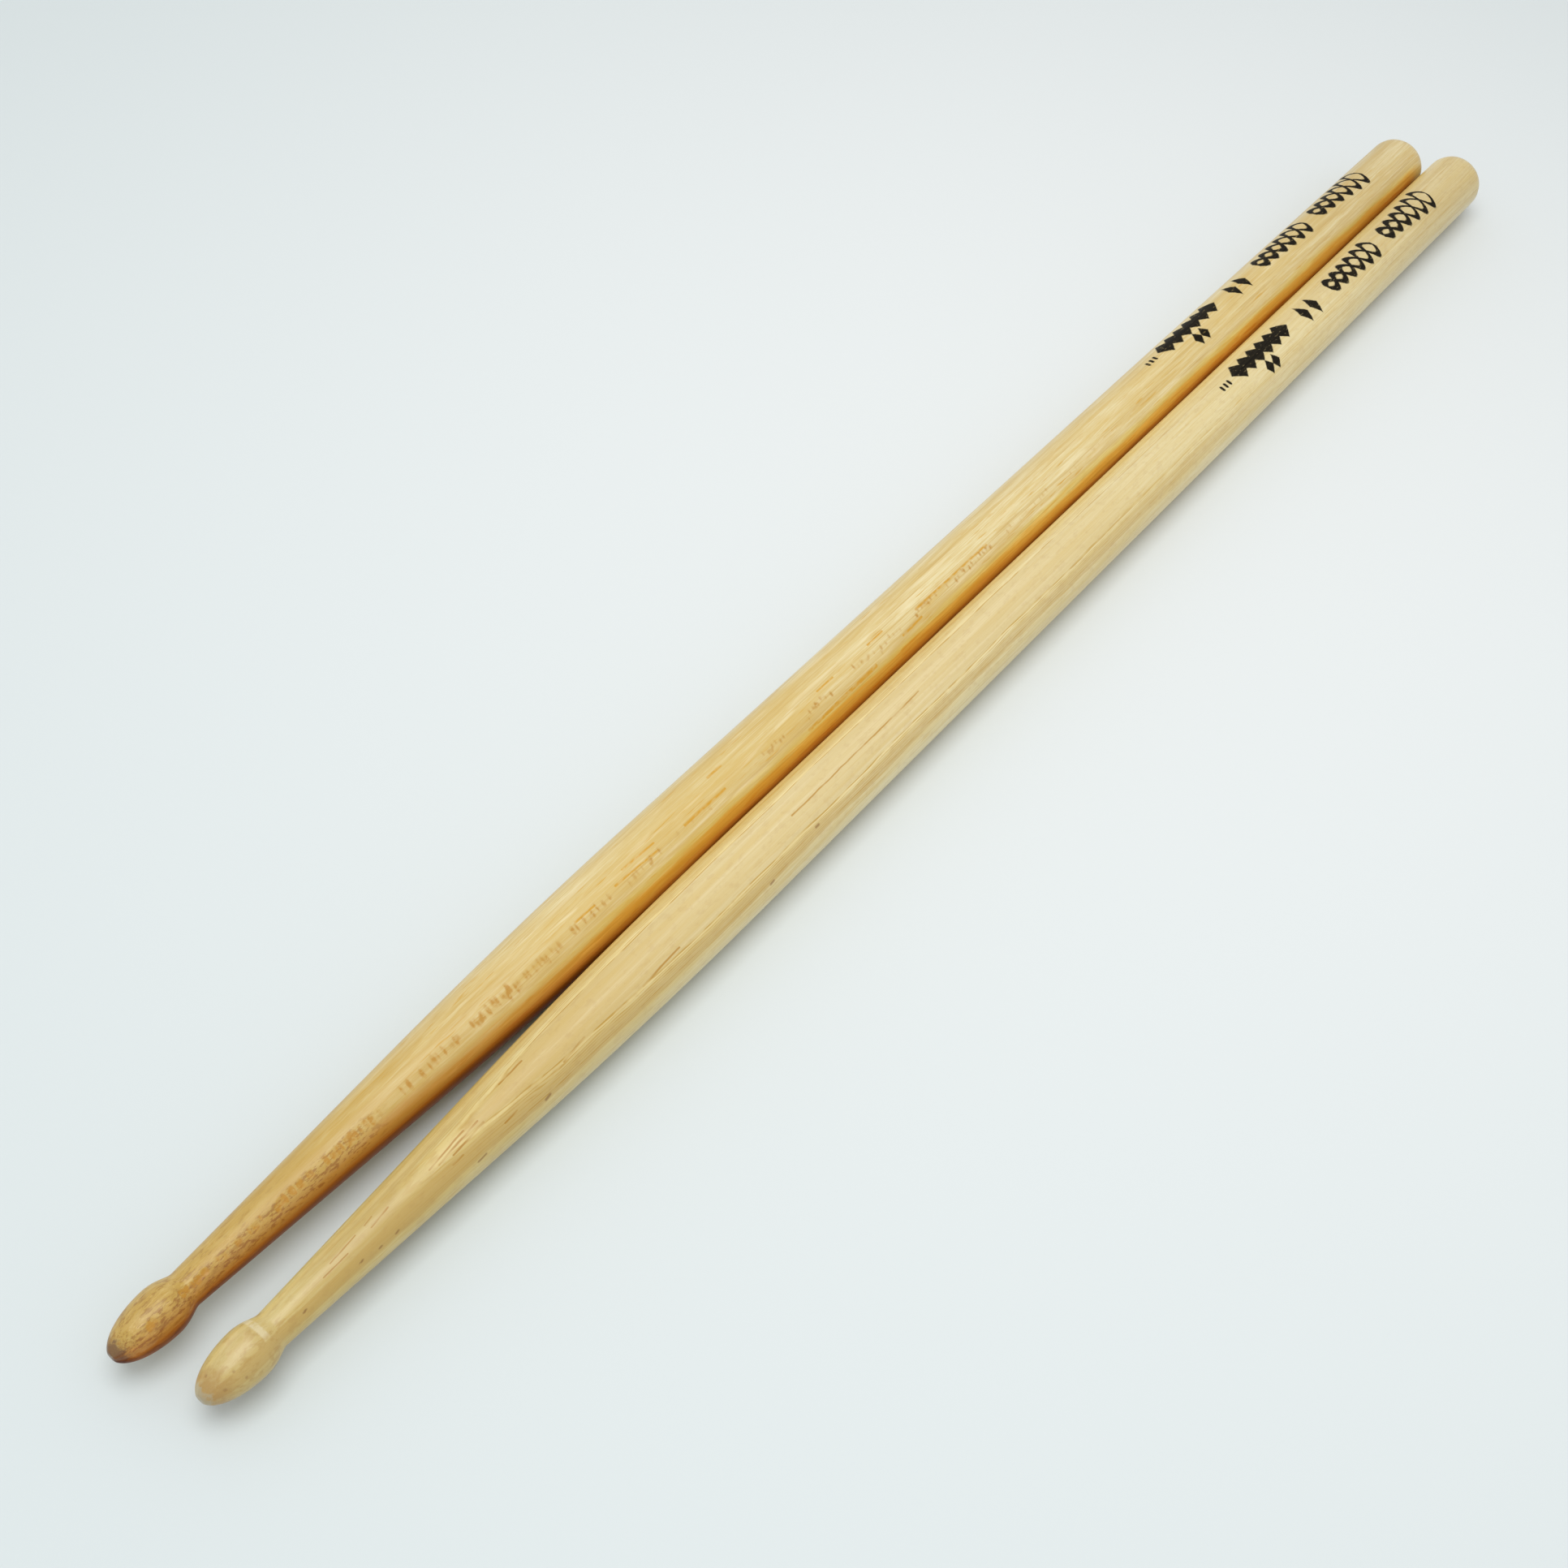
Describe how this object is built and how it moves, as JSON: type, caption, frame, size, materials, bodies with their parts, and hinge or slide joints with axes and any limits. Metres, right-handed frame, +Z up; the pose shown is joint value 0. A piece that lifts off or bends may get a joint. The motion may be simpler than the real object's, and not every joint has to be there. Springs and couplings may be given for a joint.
{
  "type": "pair of drumsticks",
  "caption": "Pair of turned hickory drumsticks with small oval wood beads, long tapered shoulders, straight round grips and rounded butts.",
  "frame": {"origin": "on the table, under the middle of the pair", "axes": "+X along the sticks from the beads to the butts, +Y to the left stick, +Z up"},
  "size_m": [0.3974, 0.0266, 0.0132],
  "materials": {
    "left_stick_wood": "satin hickory with a thin lacquer, golden towards the bead, dented along one side",
    "right_stick_wood": "satin hickory with a thin lacquer, pale and clean"
  },
  "bodies": {
    "left": {"left_stick": "left_stick_wood"},
    "right": {"right_stick": "right_stick_wood"}
  },
  "joints": [
    {"name": "right_stick_apart", "type": "slide", "parent": "left", "child": "right", "axis": [0, -1, 0], "range_m": [0, 0.08]}
  ]
}
